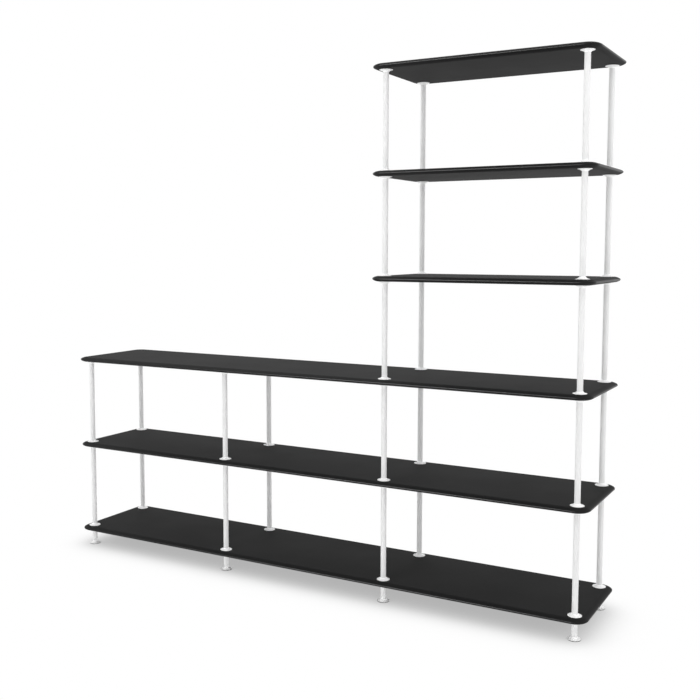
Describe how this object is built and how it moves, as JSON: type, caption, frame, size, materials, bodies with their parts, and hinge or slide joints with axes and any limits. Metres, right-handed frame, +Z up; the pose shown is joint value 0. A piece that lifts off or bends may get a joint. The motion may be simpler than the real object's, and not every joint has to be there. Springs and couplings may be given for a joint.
{
  "type": "shelving unit",
  "caption": "Open stepped shelving unit: dark rounded boards stacked on pale tubes with flared collars, a low run with a tower over one end bay, on levelling feet.",
  "frame": {"origin": "on the floor, under the middle of the unit's box", "axes": "+X along the boards towards the tower, +Y from the front posts to the back posts, +Z up"},
  "size_m": [2.038, 0.38, 1.785],
  "materials": {
    "board_lacquer": "black satin lacquer on fibreboard",
    "tube_paint": "white powder coat on steel tube",
    "collar_paint": "white powder coat on turned steel",
    "foot_plastic": "white moulded nylon",
    "stud_steel": "zinc plated",
    "insert_brass": "plain brass",
    "bush_steel": "zinc plated"
  },
  "bodies": {
    "unit": {"long_shelf_bottom": "board_lacquer", "long_shelf_middle": "board_lacquer", "long_shelf_top": "board_lacquer", "tower_shelf_lower": "board_lacquer", "tower_shelf_upper": "board_lacquer", "tower_shelf_top": "board_lacquer", "front_left_foot_tube": "tube_paint", "front_left_tube_1": "tube_paint", "front_left_tube_2": "tube_paint", "back_left_foot_tube": "tube_paint", "back_left_tube_1": "tube_paint", "back_left_tube_2": "tube_paint", "front_mid_left_foot_tube": "tube_paint", "front_mid_left_tube_1": "tube_paint", "front_mid_left_tube_2": "tube_paint", "back_mid_left_foot_tube": "tube_paint", "back_mid_left_tube_1": "tube_paint", "back_mid_left_tube_2": "tube_paint", "front_mid_right_foot_tube": "tube_paint", "front_mid_right_tube_1": "tube_paint", "front_mid_right_tube_2": "tube_paint", "front_mid_right_tube_3": "tube_paint", "front_mid_right_tube_4": "tube_paint", "front_mid_right_tube_5": "tube_paint", "back_mid_right_foot_tube": "tube_paint", "back_mid_right_tube_1": "tube_paint", "back_mid_right_tube_2": "tube_paint", "back_mid_right_tube_3": "tube_paint", "back_mid_right_tube_4": "tube_paint", "back_mid_right_tube_5": "tube_paint", "front_right_foot_tube": "tube_paint", "front_right_tube_1": "tube_paint", "front_right_tube_2": "tube_paint", "front_right_tube_3": "tube_paint", "front_right_tube_4": "tube_paint", "front_right_tube_5": "tube_paint", "back_right_foot_tube": "tube_paint", "back_right_tube_1": "tube_paint", "back_right_tube_2": "tube_paint", "back_right_tube_3": "tube_paint", "back_right_tube_4": "tube_paint", "back_right_tube_5": "tube_paint", "long_shelf_bottom_collars": "collar_paint", "long_shelf_middle_collars": "collar_paint", "long_shelf_top_collars": "collar_paint", "tower_shelf_lower_collars": "collar_paint", "tower_shelf_upper_collars": "collar_paint", "tower_shelf_top_collars": "collar_paint", "joining_studs": "stud_steel", "top_studs": "stud_steel", "threaded_inserts": "insert_brass", "foot_bushes": "bush_steel"},
    "front_left_foot": {"front_left_levelling_foot": "foot_plastic"},
    "back_left_foot": {"back_left_levelling_foot": "foot_plastic"},
    "front_mid_left_foot": {"front_mid_left_levelling_foot": "foot_plastic"},
    "back_mid_left_foot": {"back_mid_left_levelling_foot": "foot_plastic"},
    "front_mid_right_foot": {"front_mid_right_levelling_foot": "foot_plastic"},
    "back_mid_right_foot": {"back_mid_right_levelling_foot": "foot_plastic"},
    "front_right_foot": {"front_right_levelling_foot": "foot_plastic"},
    "back_right_foot": {"back_right_levelling_foot": "foot_plastic"}
  },
  "joints": [
    {"name": "front_left_foot_screw", "type": "slide", "parent": "unit", "child": "front_left_foot", "axis": [0, 0, -1], "range_m": [0, 0.01]},
    {"name": "back_left_foot_screw", "type": "slide", "parent": "unit", "child": "back_left_foot", "axis": [0, 0, -1], "range_m": [0, 0.01]},
    {"name": "front_mid_left_foot_screw", "type": "slide", "parent": "unit", "child": "front_mid_left_foot", "axis": [0, 0, -1], "range_m": [0, 0.01]},
    {"name": "back_mid_left_foot_screw", "type": "slide", "parent": "unit", "child": "back_mid_left_foot", "axis": [0, 0, -1], "range_m": [0, 0.01]},
    {"name": "front_mid_right_foot_screw", "type": "slide", "parent": "unit", "child": "front_mid_right_foot", "axis": [0, 0, -1], "range_m": [0, 0.01]},
    {"name": "back_mid_right_foot_screw", "type": "slide", "parent": "unit", "child": "back_mid_right_foot", "axis": [0, 0, -1], "range_m": [0, 0.01]},
    {"name": "front_right_foot_screw", "type": "slide", "parent": "unit", "child": "front_right_foot", "axis": [0, 0, -1], "range_m": [0, 0.01]},
    {"name": "back_right_foot_screw", "type": "slide", "parent": "unit", "child": "back_right_foot", "axis": [0, 0, -1], "range_m": [0, 0.01]}
  ]
}
